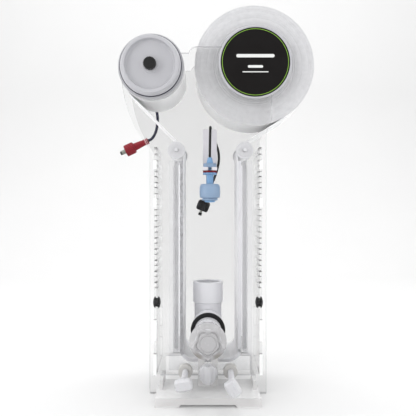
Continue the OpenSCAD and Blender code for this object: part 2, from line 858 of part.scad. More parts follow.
// Front foot: a tread with an arched front rail, two cheeks and a slotted tongue
module foot() {
    half = foot_w / 2;
    cheek_t = 4;
    cheek_x = 62;
    rail_t = 5;
    pad_w = 28;
    color([0.80, 0.82, 0.83, 0.8]) placed() {
        translate([-half, -foot_reach, foot_h - plate_t])
            cube([foot_w, foot_reach - tongue_gap, plate_t]);
        translate([-cheek_x, -tongue_gap, foot_h - plate_t])
            cube([2 * cheek_x, foot_back_y + tongue_gap, plate_t]);
        plate_y(-foot_reach, -foot_reach + rail_t) difference() {
            translate([-half, 0]) square([foot_w, foot_h - plate_t]);
            polygon([[pad_w - half, -1], [pad_w + 4 - half, 3.4], [half - pad_w - 4, 3.4],
                [half - pad_w, -1]]);
        }
        for (side = [-1, 1]) translate([side * (cheek_x - cheek_t / 2) - cheek_t / 2, 0, 0]) {
            translate([0, -foot_reach + rail_t, 0])
                cube([cheek_t, foot_back_y + foot_reach - rail_t, foot_h - plate_t]);
            translate([0, -20, foot_h]) cube([cheek_t, foot_back_y + 20, floor_z - foot_h - 0.5]);
        }
        plate_y(-tongue_gap - tongue_t, -tongue_gap) difference() {
            translate([-13, foot_h]) square([26, tongue_top_z - foot_h]);
            rotate(90) slot([screw_z + foot_travel / 2, 0], foot_travel + 2 * screw_r + 1,
                2 * screw_r + 1);
        }
    }
}

// Nylon thumb screw: a shaft, a neck, and a head that swells to base and ends in a wing.
// base_at is the distance of the head's widest part behind its front.
module thumb_screw(x, reach, shaft_l, turn, wing, base, base_at) {
    at = [x, screw_z];
    front = -reach;
    neck = front + head_l;
    color([0.93, 0.93, 0.94]) placed() {
        bar_y(at, screw_r, neck + neck_l - 1, neck + neck_l + shaft_l);
        bar_y(at, neck_r, neck - 1, neck + neck_l);
        translate([x, 0, screw_z]) rotate([0, turn, 0]) hull() {
            plate_y(front, front + 1) slot([0, 0], wing[0], wing[1], $fn = 32);
            plate_y(front + base_at, front + base_at + 2) slot([0, 0], base[0], base[1], $fn = 32);
            plate_y(neck - 1, neck) circle(neck_r + 0.8, $fn = 32);
        }
    }
}

module long_screw(side, reach, turn) {
    thumb_screw(side * screw_x, reach, long_shaft_l, turn, [19, 8], [22, 12], 5);
}

module thumb_screw_left() { long_screw(-1, screw_reach_left, -8); }
module thumb_screw_right() { long_screw(1, screw_reach_right, 60); }
module thumb_screw_centre() { thumb_screw(0, clamp_reach, 9, 90, [24, 5], [25, 24], 12); }

front_plate();
back_plate();
side_wall_left();
side_wall_right();
chamber_floor();
side_grommets();
screw_bosses();
carriage_front();
carriage_rear();
screen_left();
screen_right();
screen_bottom();
guide_bars();
roller_axles();
guide_roller_left();
guide_roller_right();
roller_caps_left();
roller_caps_right();
fleece_feed();
fleece_bed();
fleece_return();
fleece_roll();
supply_core();
supply_spindle();
supply_hub();
hub_label();
supply_bush();
spindle_boss();
takeup_drum();
takeup_wrap();
takeup_cap();
takeup_ring();
takeup_shaft();
takeup_bush();
takeup_nut();
motor_plate();
motor_screws();
motor_body();
motor_gland();
motor_cable();
motor_plug_boot();
motor_plug_nut();
motor_plug_barrel();
inlet_elbow();
inlet_riser();
inlet_grommet();
inlet_tailpiece();
inlet_nut();
float_bracket();
float_gland();
float_gasket();
float_stem();
float_clip();
float();
float_cable();
float_plug();
foot();
thumb_screw_left();
thumb_screw_right();
thumb_screw_centre();
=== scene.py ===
"""Looks, camera and light of the roller fleece filter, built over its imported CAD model."""

import math
import random

import bmesh
import bpy
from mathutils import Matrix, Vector


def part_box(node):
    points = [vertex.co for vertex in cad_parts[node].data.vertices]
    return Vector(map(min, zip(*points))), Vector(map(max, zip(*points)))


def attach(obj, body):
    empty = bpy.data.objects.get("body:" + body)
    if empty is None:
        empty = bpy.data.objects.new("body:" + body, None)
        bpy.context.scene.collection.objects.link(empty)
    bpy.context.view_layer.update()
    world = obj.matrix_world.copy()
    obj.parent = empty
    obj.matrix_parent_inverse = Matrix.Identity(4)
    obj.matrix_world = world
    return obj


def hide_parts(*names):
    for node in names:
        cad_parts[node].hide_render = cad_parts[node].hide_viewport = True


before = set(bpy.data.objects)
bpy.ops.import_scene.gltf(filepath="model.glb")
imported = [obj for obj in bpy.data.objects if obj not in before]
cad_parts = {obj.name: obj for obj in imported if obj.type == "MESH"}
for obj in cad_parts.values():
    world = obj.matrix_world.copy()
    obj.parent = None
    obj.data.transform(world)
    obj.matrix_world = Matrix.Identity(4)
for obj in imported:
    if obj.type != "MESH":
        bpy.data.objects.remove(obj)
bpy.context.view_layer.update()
MM = 0.001
RUN_GAP = 0.07 * MM  # clearance of a shaft that turns or slides in its hole
FLEECE_THICKNESS = 0.8 * MM
X, Y, Z = Vector((1, 0, 0)), Vector((0, 1, 0)), Vector((0, 0, 1))


# ---------- places taken from the frame ----------


def low(node):
    return Vector(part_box(node)[0])


def high(node):
    return Vector(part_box(node)[1])


def middle(node):
    return (low(node) + high(node)) / 2


def half_width(node):
    return (high(node).x - low(node).x) / 2


# The chamber's own origin: the middle of the front plate's front face, on the ground
CHAMBER = Vector((middle("chamber_floor").x, low("front_plate").y, 0))


def in_chamber(x, y, z):
    """A point given in the chamber's millimetres, as part.scad gives its cords."""
    return CHAMBER + Vector((x, y, z)) * MM


# ---------- camera ----------

CAMERA_DISTANCE = 0.72
CAMERA_HEIGHT = 0.245
HALF_FIELD = 0.3814  # tangent of half the angle of view


def add_camera():
    data = bpy.data.cameras.new("camera")
    data.lens = data.sensor_width / 2 / HALF_FIELD
    camera = bpy.data.objects.new("camera", data)
    camera.location = CHAMBER + Vector((0, -CAMERA_DISTANCE, CAMERA_HEIGHT))
    camera.rotation_euler = (math.pi / 2, 0, 0)
    bpy.context.scene.collection.objects.link(camera)
    bpy.context.scene.camera = camera


# ---------- materials ----------

SQUARE_ON = 0.75  # a normal's part along an axis, from which a face counts as square to it
MIRROR_STRAIGHT, MIRROR_GLANCE = 0.004, 0.3
SAW_MARKS = (0.7, 0.7, 0.7)
FADED = 0.1  # what is left of a cut edge where it fades away
# depths over which the ledges' painted shade fades out
LEDGE_FADE = (12 * MM, 52 * MM)  # depths between which the ledges fade
# painted light: a roll's outside is coloured lighter than the supply roll's ends, so that its underside
# looks lit
ROLL_SIDE_PAINTED_LIGHT = (0.90, 0.90, 0.90)  # a roll's outside, round its axis
NUT_LOBES = 5


class Paint:
    """A material's node tree, with short names for the nodes this scene uses."""

    def __init__(self, name):
        self.material = bpy.data.materials.new(name)
        self.material.use_nodes = True
        self.tree = self.material.node_tree
        self.tree.nodes.clear()
        self.place = self.add("ShaderNodeTexCoord").outputs["Object"]

    def add(self, kind, **settings):
        node = self.tree.nodes.new(kind)
        for key, value in settings.items():
            setattr(node, key, value)
        return node

    def put(self, socket, value):
        """Gives an input a value, or links another node's output to it."""
        if isinstance(value, bpy.types.NodeSocket):
            self.tree.links.new(value, socket)
        elif hasattr(value, "__len__") and len(value) == 3 and socket.type == "RGBA":
            socket.default_value = (*value, 1)
        else:
            socket.default_value = value

    def stretched(self, x, y, z):
        """The object's own coordinates, scaled on each axis."""
        node = self.add("ShaderNodeMapping")
        self.put(node.inputs["Vector"], self.place)
        self.put(node.inputs["Scale"], (x, y, z))
        return node.outputs[0]

    def noise(self, scale, detail, at=None):
        node = self.add("ShaderNodeTexNoise")
        self.put(node.inputs["Vector"], at or self.place)
        self.put(node.inputs["Scale"], scale)
        self.put(node.inputs["Detail"], detail)
        return node.outputs["Fac"]

    def math(self, operation, a, b=0.0):
        node = self.add("ShaderNodeMath", operation=operation)
        self.put(node.inputs[0], a)
        self.put(node.inputs[1], b)
        return node.outputs[0]

    def spread(self, value, to_low, to_high, from_low=0.3, from_high=0.7):
        """Stretches a value's usual span to another span."""
        node = self.add("ShaderNodeMapRange")
        for name, number in zip(
            ("Value", "From Min", "From Max", "To Min", "To Max"),
            (value, from_low, from_high, to_low, to_high),
        ):
            self.put(node.inputs[name], number)
        return node.outputs[0]

    def mix(self, factor, a, b):
        node = self.add("ShaderNodeMix", data_type="RGBA")
        self.put(node.inputs["Factor"], factor)
        self.put(node.inputs[6], a)
        self.put(node.inputs[7], b)
        return node.outputs[2]

    def part(self, vector, axis):
        """One coordinate of a vector."""
        node = self.add("ShaderNodeSeparateXYZ")
        self.put(node.inputs[0], vector)
        return node.outputs[axis]

    def beyond(self, centre, axis):
        """How far a point is past centre along an axis, in metres."""
        return self.math("SUBTRACT", self.part(self.place, axis), centre[axis])

    def radius(self, centre, axis):
        """Distance from an axis through centre, in metres."""
        squares = [self.math("POWER", self.beyond(centre, i), 2.0) for i in range(3) if i != axis]
        return self.math("SQRT", self.math("ADD", *squares))

    def band(self, distance, line, inside, outside):
        """1 within a distance from a line, and 0 outside a larger one."""
        away = self.math("ABSOLUTE", self.math("SUBTRACT", distance, line))
        return self.spread(away, 1, 0, inside, outside)

    def across(self, axis):
        """1 on faces square to an axis, and 0 on faces that run along it."""
        normal = self.add("ShaderNodeNewGeometry").outputs["True Normal"]
        return self.math("GREATER_THAN", self.math("ABSOLUTE", self.part(normal, axis)), SQUARE_ON)

    def glance(self):
        """How much a clear surface mirrors: little straight on, and more at a glance."""
        facing = self.add("ShaderNodeLayerWeight").outputs["Facing"]
        return self.spread(self.math("POWER", facing, 5.0), MIRROR_STRAIGHT, MIRROR_GLANCE, 0, 1)

    def bump(self, height, distance, strength=1.0):
        node = self.add("ShaderNodeBump")
        self.put(node.inputs["Height"], height)
        self.put(node.inputs["Distance"], distance)
        self.put(node.inputs["Strength"], strength)
        return node.outputs[0]

    def shader(self, kind, **inputs):
        node = self.add(kind)
        for name, value in inputs.items():
            self.put(node.inputs[name.replace("_", " ")], value)
        return node.outputs[0]

    def blend(self, factor, a, b):
        node = self.add("ShaderNodeMixShader")
        self.put(node.inputs[0], factor)
        self.put(node.inputs[1], a)
        self.put(node.inputs[2], b)
        return node.outputs[0]

    def done(self, surface):
        output = self.add("ShaderNodeOutputMaterial")
        self.put(output.inputs["Surface"], surface)
        return self.material

    def principled(self, **inputs):
        """The surface of everything but the clear sheets' faces."""
        return self.shader("ShaderNodeBsdfPrincipled", **inputs)


def scaled(colour, factor):
    return tuple(min(1.0, c * factor) for c in colour)


def plastic(name, colour, roughness, grain=0.02 * MM, grain_size=2500, variation=0.05, **more):
    """Moulded plastic or rubber: slight colour clouds, uneven gloss and a fine surface grain."""
    p = Paint(name)
    clouds = p.noise(45, 3)
    fine = p.noise(grain_size, 4)
    smears = p.noise(220, 3)
    tint = p.mix(clouds, scaled(colour, 1 - variation), scaled(colour, 1 + variation))
    gloss = p.spread(smears, roughness * 0.8, roughness * 1.25)
    return p.done(p.principled(Base_Color=tint, Roughness=gloss, Normal=p.bump(fine, grain), **more))


def clear_sheet(name, axis, tint, cut, haze, cut_alpha=0.75, veil=(0.9, 0.9, 0.9), ledge=None,
                clear_above=None):
    """Clear sheet, square to an axis, whose cut edges show more than its faces.

    ledge is a colour of painted shade for the cut edges that face up or down, dark near the front and
    fading with depth;
    a sheet that has it shows its tabs' ends fully. Above clear_above the cut edges fade away.
    """
    p = Paint(name)
    through = p.shader("ShaderNodeBsdfTransparent", Color=(*tint, 1))
    dust = p.spread(p.noise(90, 5), haze * 0.95, haze * 1.05)
    scattered = p.shader("ShaderNodeBsdfDiffuse", Color=(*veil, 1))
    smears = p.spread(p.noise(60, 4), 0.03, 0.12)
    ripple = p.bump(p.noise(14, 1), 0.3 * MM, 0.15)
    gloss = p.shader("ShaderNodeBsdfGlossy", Roughness=smears, Normal=ripple)
    face = p.blend(p.glance(), p.blend(dust, through, scattered), gloss)
    saw = p.spread(p.noise(900, 2), 0, 0.1)
    colour, alpha = cut, cut_alpha
    if ledge:
        # painted shade: the up- and down-facing cut edges are dark near the front and fade to the plain
        # cut colour with depth
        depth = p.beyond(CHAMBER, 1)
        ledge_shade_mask = p.math("MULTIPLY", p.across(2), p.spread(depth, 1, FADED, *LEDGE_FADE))
        colour = p.mix(ledge_shade_mask, cut, ledge)
        at_front = p.math("LESS_THAN", depth, 1 * MM)
        alpha = p.math("MAXIMUM", p.math("MAXIMUM", ledge_shade_mask, at_front), cut_alpha)
    if clear_above:
        height = p.beyond(CHAMBER, 2)
        alpha = p.spread(height, cut_alpha, FADED, clear_above - 4 * MM, clear_above + 4 * MM)
    marked = p.mix(saw, colour, SAW_MARKS)
    edge = p.principled(Base_Color=marked, Roughness=0.25, Alpha=alpha)
    return p.done(p.blend(p.across(axis), edge, face))


def fleece(name, colour=(0.87, 0.87, 0.88), winding=None):
    """Non-woven polyester; winding is a point on a roll's axis, and the roll's ends show layers while
    its outside takes a lighter colour, painted light.
    """
    p = Paint(name)
    fibres = p.noise(1, 6, p.stretched(1400, 700, 700))
    clumps = p.noise(160, 4)
    height = p.math("ADD", p.math("MULTIPLY", fibres, 0.5), p.math("MULTIPLY", clumps, 0.8))
    shade = p.spread(clumps, 0.0, 1.0)
    if winding:
        layers = p.math("MULTIPLY", p.radius(winding, 1), 2 * math.pi / FLEECE_THICKNESS)
        wobble = p.math("MULTIPLY", p.noise(120, 2), 5.0)
        rings = p.math("SINE", p.math("ADD", layers, wobble))
        height = p.math("ADD", height, p.math("MULTIPLY", rings, 0.25))
        shade = p.spread(p.math("ADD", shade, p.math("MULTIPLY", rings, 0.3)), 0, 1, 0, 1)
    tone = p.mix(shade, scaled(colour, 0.94), scaled(colour, 1.04))
    if winding:
        # painted light: the outside of a roll gets its own lighter colour
        tone = p.mix(p.across(1), ROLL_SIDE_PAINTED_LIGHT, tone)
    fuzz = p.bump(height, 0.35 * MM, 0.8)
    return p.done(p.principled(Base_Color=tone, Roughness=0.95, Sheen_Weight=0.25, Normal=fuzz))


def moulded_nut(name, centre, colour, shade):
    """Pale plastic with a raised ring and lobed rim on its face; shade is the colour of painted shade in
    the lower scallops.
    """
    p = Paint(name)
    z = p.beyond(centre, 2)
    angle = p.math("MULTIPLY", p.math("ARCTAN2", p.beyond(centre, 0), z), NUT_LOBES)
    wave = p.math("COSINE", angle)
    from_axis = p.radius(centre, 1)
    rim_line = p.math("ADD", p.math("MULTIPLY", wave, -1.5 * MM), 14 * MM)
    rim = p.band(from_axis, rim_line, 0.3 * MM, 1.6 * MM)
    ring = p.band(from_axis, 9.8 * MM, 0.2 * MM, 0.9 * MM)
    height = p.math("ADD", rim, p.math("MULTIPLY", ring, 0.6))
    height = p.math("ADD", height, p.math("MULTIPLY", p.noise(260, 3), 0.35))
    # painted shade: darker between the lobes on the lower, outer part of the face
    between_lobes = p.spread(wave, 0, 1, -0.4, 0.8)
    lower = p.spread(z, 1, 0, -16 * MM, -6 * MM)
    outer = p.spread(from_axis, 0, 1, 15 * MM, 19 * MM)
    painted_shade_in_bite = p.math("MULTIPLY", p.math("MULTIPLY", between_lobes, lower), outer)
    tint = p.mix(painted_shade_in_bite, colour, shade)
    gloss = p.spread(p.noise(220, 3), 0.15, 0.3)
    return p.done(p.principled(Base_Color=tint, Roughness=gloss, Normal=p.bump(height, 1.2 * MM)))


def metal(name, colour, roughness, axis=1):
    """Turned or brushed metal, with fine lines along one axis."""
    p = Paint(name)
    across, along = 3000, 60
    scales = [across, across, across]
    scales[axis] = along
    lines = p.noise(1, 3, p.stretched(*scales))
    tint = p.mix(lines, scaled(colour, 0.85), colour)
    gloss = p.spread(lines, roughness * 0.8, roughness * 1.3)
    grooves = p.bump(lines, 0.01 * MM)
    return p.done(p.principled(Base_Color=tint, Metallic=1.0, Roughness=gloss, Normal=grooves))


def label_face(name, centre, ring_radius):
    """Black satin disc with one thin plain green ring near its edge."""
    p = Paint(name)
    from_ring = p.math("ABSOLUTE", p.math("SUBTRACT", p.radius(centre, 1), ring_radius))
    on_ring = p.math("LESS_THAN", from_ring, 0.35 * MM)
    black = p.mix(p.noise(60, 3), (0.005, 0.004, 0.004), (0.009, 0.008, 0.008))
    green = (0.22, 0.42, 0.06)
    return p.done(
        p.principled(
            Base_Color=p.mix(on_ring, black, green),
            Roughness=p.spread(p.noise(300, 3), 0.40, 0.55),
            Specular_IOR_Level=0.12,
            Normal=p.bump(p.noise(1800, 2), 0.01 * MM),
        )
    )


DULL = {"Specular_IOR_Level": 0.25}
SUPPLY = middle("fleece_roll")
TAKEUP = middle("takeup_wrap")

clear_front = clear_sheet("clear_front", 1, (0.968, 0.968, 0.968), (0.60, 0.60, 0.62), 0.003)
clear_back = clear_sheet("clear_back", 1, (0.922, 0.922, 0.922), (0.70, 0.70, 0.72), 0.01, 0.4)
# the side walls' ledges carry painted shade: near black at the front, fading with depth
clear_side = clear_sheet("clear_side", 0, (0.975, 0.975, 0.975), (0.95, 0.95, 0.95), 0.01, 0.2,
                         ledge=(0.03, 0.03, 0.03))
clear_flat = clear_sheet("clear_flat", 2, (0.985, 0.985, 0.985), (0.80, 0.80, 0.82), 0.01, 0.12)
frosted = clear_sheet("frosted", 1, (0.99, 0.99, 0.993), (0.80, 0.80, 0.84), 0.06, 0.15,
                      (0.85, 0.85, 0.90))
frosted_foot = clear_sheet("frosted_foot", 2, (0.96, 0.96, 0.96), (0.74, 0.73, 0.73), 0.6, 0.65,
                           clear_above=low("front_plate").z)
milky = clear_sheet("milky", 1, (0.9, 0.9, 0.9), (0.90, 0.90, 0.90), 0.8, 0.95, (0.88, 0.86, 0.91))
screen_plastic = plastic("screen_plastic", (0.92, 0.92, 0.94), 0.45)
bar_plastic = plastic("bar_plastic", (0.96, 0.96, 0.98), 0.4)
boss_plastic = plastic("boss_plastic", (0.49, 0.48, 0.465), 0.5)
cap_plastic = plastic("cap_plastic", (0.66, 0.66, 0.68), 0.3)
# the hub and the take-up cup are white plastic; this grey is painted shade, darkening them to offset the
# strong light on the front
cup_plastic = plastic("cup_plastic", (0.45, 0.45, 0.475), 0.35)
white_plastic = plastic("white_plastic", (0.92, 0.92, 0.93), 0.32)
# the thumb screws are whitish nylon; this grey, shared by the tailpiece, is painted shade that offsets
# the strong light on the front
nylon = plastic("nylon", (0.55, 0.55, 0.57), 0.3, 0.03 * MM, Subsurface_Weight=0.1,
                Subsurface_Radius=(0.003, 0.003, 0.003), Subsurface_Scale=1.0)
# the second colour is painted shade for the nut's lower scallops
nut_plastic = moulded_nut("nut_plastic", middle("inlet_nut"), (0.41, 0.405, 0.415), (0.26, 0.245, 0.23))
pvc = plastic("pvc", (0.78, 0.78, 0.81), 0.38)
black_plastic = plastic("black_plastic", (0.012, 0.012, 0.012), 0.4, 0.03 * MM, 1800, **DULL)
rubber = plastic("rubber", (0.008, 0.008, 0.009), 0.6, 0.04 * MM, 1500, **DULL)
ring_pink = plastic("ring_pink", (0.70, 0.44, 0.46), 0.5)
gasket_red = plastic("gasket_red", (0.20, 0.012, 0.018), 0.5, **DULL)
ring_navy = plastic("ring_navy", (0.012, 0.012, 0.03), 0.5, **DULL)
cable_navy = plastic("cable_navy", (0.010, 0.010, 0.045), 0.42, 0.02 * MM, 1500, **DULL)
cable_black = plastic("cable_black", (0.007, 0.007, 0.008), 0.4, 0.02 * MM, 1500, **DULL)
plug_red = plastic("plug_red", (0.22, 0.010, 0.019), 0.4, 0.03 * MM, 1500, 0.12, **DULL)
float_blue = plastic("float_blue", (0.20, 0.38, 0.62), 0.38, 0.03 * MM, 1800)
float_pale = plastic("float_pale", (0.26, 0.37, 0.53), 0.38, 0.05 * MM, 900)
cardboard = plastic("cardboard", (0.42, 0.32, 0.21), 0.85, 0.08 * MM, 900, 0.12)
print_white = plastic("print_white", (0.72, 0.73, 0.72), 0.5)
steel = metal("steel", (0.62, 0.62, 0.63), 0.3)
motor_metal = metal("motor_metal", (0.20, 0.20, 0.22), 0.42, 0)
plug_metal = metal("plug_metal", (0.27, 0.28, 0.25), 0.4, 0)
web_fleece = fleece("web_fleece")
roll_fleece = fleece("roll_fleece", (0.64, 0.64, 0.655), SUPPLY)
wrap_fleece = fleece("wrap_fleece", (0.92, 0.92, 0.93), TAKEUP)

for material, names in (
    (clear_front, "front_plate"),
    (clear_back, "back_plate"),
    (clear_side, "side_wall_left side_wall_right"),
    (clear_flat, "chamber_floor"),
    (frosted, "carriage_front carriage_rear"),
    (frosted_foot, "foot"),
    (milky, "float_bracket"),
    (screen_plastic, "screen_left screen_right screen_bottom"),
    (bar_plastic, "guide_bars"),
    (cap_plastic, "roller_axles"),
    (white_plastic, "supply_spindle supply_bush spindle_boss takeup_drum takeup_bush"),
    (cardboard, "supply_core"),
    (steel, "takeup_shaft motor_plate motor_screws"),
    (pvc, "inlet_elbow"),
    (black_plastic, "motor_gland"),
):
    for node in names.split():
        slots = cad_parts[node].material_slots
        for slot in slots:
            slot.material = material


# ---------- mesh helpers ----------

CURVE_STEPS = (0, 0.3, 0.7, 1)  # places along a rounded corner's curve
SIDE_SHARE = 0.45  # how much of a side one rounded corner may take


def add_piece(name, points, faces, material, body, sharp=35):
    """A mesh piece that rides on a body, smooth except at edges sharper than an angle."""
    mesh = bpy.data.meshes.new(name)
    mesh.from_pydata([tuple(p) for p in points], [], faces)
    mesh.materials.append(material)
    work = bmesh.new()
    work.from_mesh(mesh)
    bmesh.ops.recalc_face_normals(work, faces=work.faces)
    work.to_mesh(mesh)
    work.free()
    mesh.shade_smooth()
    mesh.set_sharp_from_angle(angle=math.radians(sharp))
    piece = bpy.data.objects.new(name, mesh)
    bpy.context.scene.collection.objects.link(piece)
    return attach(piece, body)


def rounded(corners, radius, closed):
    """A profile with its corners rounded; each corner may give its own radius as a third value.

    An open profile keeps its first and last corner sharp.
    """
    result = []
    count = len(corners)
    for i, corner in enumerate(corners):
        here = Vector(corner[:2])
        if not closed and i in (0, count - 1):
            result.append(here)
            continue
        before = Vector(corners[i - 1][:2])
        after = Vector(corners[(i + 1) % count][:2])
        size = corner[2] if len(corner) > 2 else radius
        size = min(size, (before - here).length * SIDE_SHARE, (after - here).length * SIDE_SHARE)
        start = here + (before - here).normalized() * size
        end = here + (after - here).normalized() * size
        for t in CURVE_STEPS:
            result.append(start * (1 - t) ** 2 + here * 2 * t * (1 - t) + end * t**2)
    return result


def lathe(name, centre, axis, profile, material, body, steps, shape=None):
    """Turns a profile of (radius, place along the axis) about an axis through centre.

    Places are the frame's own along X, Y or Z, and counted from centre along another axis. A
    profile that starts on the axis also ends there, and any other is closed. shape(angle,
    radius, place) may change the radius, for ribs, threads and lobes.
    """
    axis = axis.normalized()
    side = X if abs(axis.x) < 0.9 else Z
    side = (side - axis * side.dot(axis)).normalized()
    up = side.cross(axis)
    base = centre - axis * centre.dot(axis) if axis in (X, Y, Z) else centre
    points, rings = [], []
    for radius, place in profile:
        if radius == 0:
            rings.append([len(points)])
            points.append(base + axis * place)
            continue
        ring = []
        for k in range(steps):
            angle = 2 * math.pi * k / steps
            r = shape(angle, radius, place) if shape else radius
            ring.append(len(points))
            points.append(base + axis * place + (side * math.cos(angle) + up * math.sin(angle)) * r)
        rings.append(ring)
    faces = []
    closed = profile[0][0] > 0
    for a, b in zip(rings, rings[1:] + rings[:1] if closed else rings[1:]):
        for k in range(steps):
            m = (k + 1) % steps
            corners = [a[k % len(a)], a[m % len(a)], b[m % len(b)], b[k % len(b)]]
            corners = list(dict.fromkeys(corners))
            if len(corners) > 2:
                faces.append(corners)
    return add_piece(name, points, faces, material, body)


def turned(name, centre, axis, corners, edge, material, body, steps=96, shape=None):
    """A lathe's piece from a profile's corners, each rounded by edge or by its own third value."""
    profile = rounded(corners, edge, closed=corners[0][0] > 0)
    return lathe(name, centre, axis, profile, material, body, steps, shape)


def upright_tube(name, node, inner, material):
    """A plain upright node as a tube with softened edges, its size taken from the node's box."""
    a, b, outer = low(node).z, high(node).z, half_width(node)
    corners = [(inner, a), (outer, a), (outer, b), (inner, b)]
    piece = turned(name, middle(node), Z, corners, 0.5 * MM, material, "chamber")
    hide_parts(node)


def ribs(count, depth, start, end):
    """Shape of straight grip ribs between two places along the axis."""
    return lambda angle, r, place: (
        r - depth * (0.5 - 0.5 * math.cos(count * angle)) if start < place < end else r
    )


def hexagon(corner_radius):
    """Shape of a hexagon's flats, for the parts of a profile at the corner radius."""
    part = math.pi / 3
    return lambda angle, r, place: (
        r * math.cos(part / 2) / math.cos(angle % part - part / 2)
        if r > corner_radius * 0.97
        else r
    )


# ---------- cords ----------

MOTOR_CORD_RADIUS = 2.2 * MM
MOTOR_CORD = [
    (-81, 128, 406), (-80, 128, 398), (-78.8, 127.8, 390), (-78.2, 127, 382),
    (-78.6, 125, 374), (-79.6, 122, 366), (-82, 119, 358), (-86.3, 116, 351), (-91.4, 115, 348),
]
PLUG_HEADING = math.radians(205)
FLOAT_CORD_RADIUS = 1.75 * MM
FLOAT_CORD = [
    (2.5, 22, 313.6), (2.6, 22, 324), (2.8, 22.5, 336), (3, 25, 347), (3.1, 30, 354.5),
    (3.3, 37.5, 357.3), (4.2, 44, 354), (7, 47, 346), (11, 48, 336), (14, 48, 327),
    (15.3, 48, 318), (14.8, 48, 308), (12.8, 47.5, 299), (10, 47, 290), (6.5, 46, 281),
    (2.5, 45, 272.5), (-0.7, 43.5, 265), (-2.6, 42, 258.6),
]
PLUG_TILT = math.radians(21)


def smooth_route(points):
    """The route's points with one more between each two, on a smooth curve through them."""
    p = [in_chamber(*point) for point in points]
    result = []
    for i in range(len(p) - 1):
        a, b, c, d = p[max(i - 1, 0)], p[i], p[i + 1], p[min(i + 2, len(p) - 1)]
        result += [b, (b + c) * 9 / 16 - (a + d) / 16]
    return result + [p[-1]]


def add_cord(name, points, radius, material, body, node):
    route = smooth_route(points)
    data = bpy.data.curves.new(name, "CURVE")
    data.dimensions = "3D"
    data.bevel_depth = radius
    data.bevel_resolution = 4
    data.resolution_u = 4
    data.use_fill_caps = True
    spline = data.splines.new("BEZIER")
    spline.bezier_points.add(len(route) - 1)
    for knot, point in zip(spline.bezier_points, route):
        knot.co = point
        knot.handle_left_type = knot.handle_right_type = "AUTO"
    data.materials.append(material)
    cord = bpy.data.objects.new(name, data)
    bpy.context.scene.collection.objects.link(cord)
    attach(cord, body)
    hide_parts(node)
    length = sum((b - a).length for a, b in zip(route, route[1:]))
    return cord, route, length


# ---------- fleece ----------


def polar(centre, radius, angle):
    return centre + Vector((math.cos(angle), math.sin(angle))) * radius


def arc(centre, radius, start, end, steps):
    return [polar(centre, radius, start + (end - start) * i / steps) for i in range(steps + 1)]


def flat_xz(point):
    return Vector((point.x, point.z))


def leave_angle(a, a_radius, b, b_radius, side):
    """Direction from roll a to where the web leaves it, to pass the other side of roll b."""
    span = b - a
    return math.atan2(span.y, span.x) + side * math.acos((a_radius + b_radius) / span.length)


def web_path():
    """The web's centreline from the supply roll to the take-up spool, as (x, z) points."""
    offset = 0.55 * MM
    supply, takeup = flat_xz(SUPPLY), flat_xz(TAKEUP)
    left, right = flat_xz(middle("guide_roller_left")), flat_xz(middle("guide_roller_right"))
    line = half_width("guide_roller_left") + offset
    supply_line = half_width("fleece_roll") + offset
    takeup_line = half_width("takeup_wrap") + offset
    off_supply = leave_angle(supply, supply_line, right, line, 1)
    off_takeup = leave_angle(takeup, takeup_line, left, line, -1)
    corner = 12 * MM
    bed = low("fleece_bed").z + FLEECE_THICKNESS / 2 + corner
    inner_left, inner_right = left.x + line + corner, right.x - line - corner
    turn = math.pi
    path = [polar(supply, supply_line, off_supply)]
    path += arc(right, line, off_supply + turn, turn, 10)
    path += arc(Vector((inner_right, bed)), corner, 0, -turn / 2, 10)
    path += arc(Vector((inner_left, bed)), corner, -turn / 2, -turn, 10)
    path += arc(left, line, 0, off_takeup + turn, 10)
    path += [polar(takeup, takeup_line, off_takeup)]
    return path


def even_steps(path, step):
    """The path with more points, so that no step is longer than the given one."""
    result = [path[0]]
    for a, b in zip(path, path[1:]):
        count = max(1, math.ceil((b - a).length / step))
        result += [a.lerp(b, i / count) for i in range(1, count + 1)]
    return result


def add_web():
    """One continuous strip of fleece over the guide rollers and through the U."""
    path = even_steps(web_path(), 6 * MM)
    front, back = low("fleece_bed").y, high("fleece_bed").y
    columns = 24
    random.seed(4)
    layers = []
    for side in (-1, 1):
        rows = []
        for i, point in enumerate(path):
            along = (path[min(i + 1, len(path) - 1)] - path[max(i - 1, 0)]).normalized()
            out = Vector((-along.y, along.x)) * side * FLEECE_THICKNESS / 2
            fray = [random.uniform(0, 0.5) * MM for _ in range(2)]
            row = []
            for k in range(columns + 1):
                y = front + fray[0] + (back - front - sum(fray)) * k / columns
                row.append(Vector((point.x + out.x, y, point.y + out.y)))
            rows.append(row)
        layers.append(rows)
    width = columns + 1
    per_layer = len(path) * width
    points = [p for rows in layers for row in rows for p in row]
    faces = []
    for i in range(len(path) - 1):
        for k in range(columns):
            a = i * width + k
            quad = [a, a + 1, a + width + 1, a + width]
            faces.append(quad)
            faces.append([per_layer + v for v in reversed(quad)])
        for k in (0, columns):
            a = i * width + k
            faces.append([a, a + width, per_layer + a + width, per_layer + a])
    for i in (0, len(path) - 1):
        for k in range(columns):
            a = i * width + k
            faces.append([a, a + 1, per_layer + a + 1, per_layer + a])
    web = add_piece("fleece_web", points, faces, web_fleece, "chamber")
    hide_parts("fleece_feed", "fleece_bed", "fleece_return")


def add_roll(name, node, inner, material, body, layers):
    """A wound roll whose ends show slightly uneven layers."""
    outer = half_width(node)
    front, back = low(node).y, high(node).y
    random.seed(layers)
    radii = [inner + (outer - inner) * i / layers for i in range(layers + 1)]
    faces_in = [random.uniform(0.05, 0.55) * MM for _ in radii]
    profile = [(r, front + s) for r, s in zip(radii, faces_in)]
    profile += [(r, back - s) for r, s in zip(reversed(radii), faces_in)]
    piece = lathe(name, middle(node), Y, profile, material, body, 128)
    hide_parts(node)


# ---------- rolls ----------


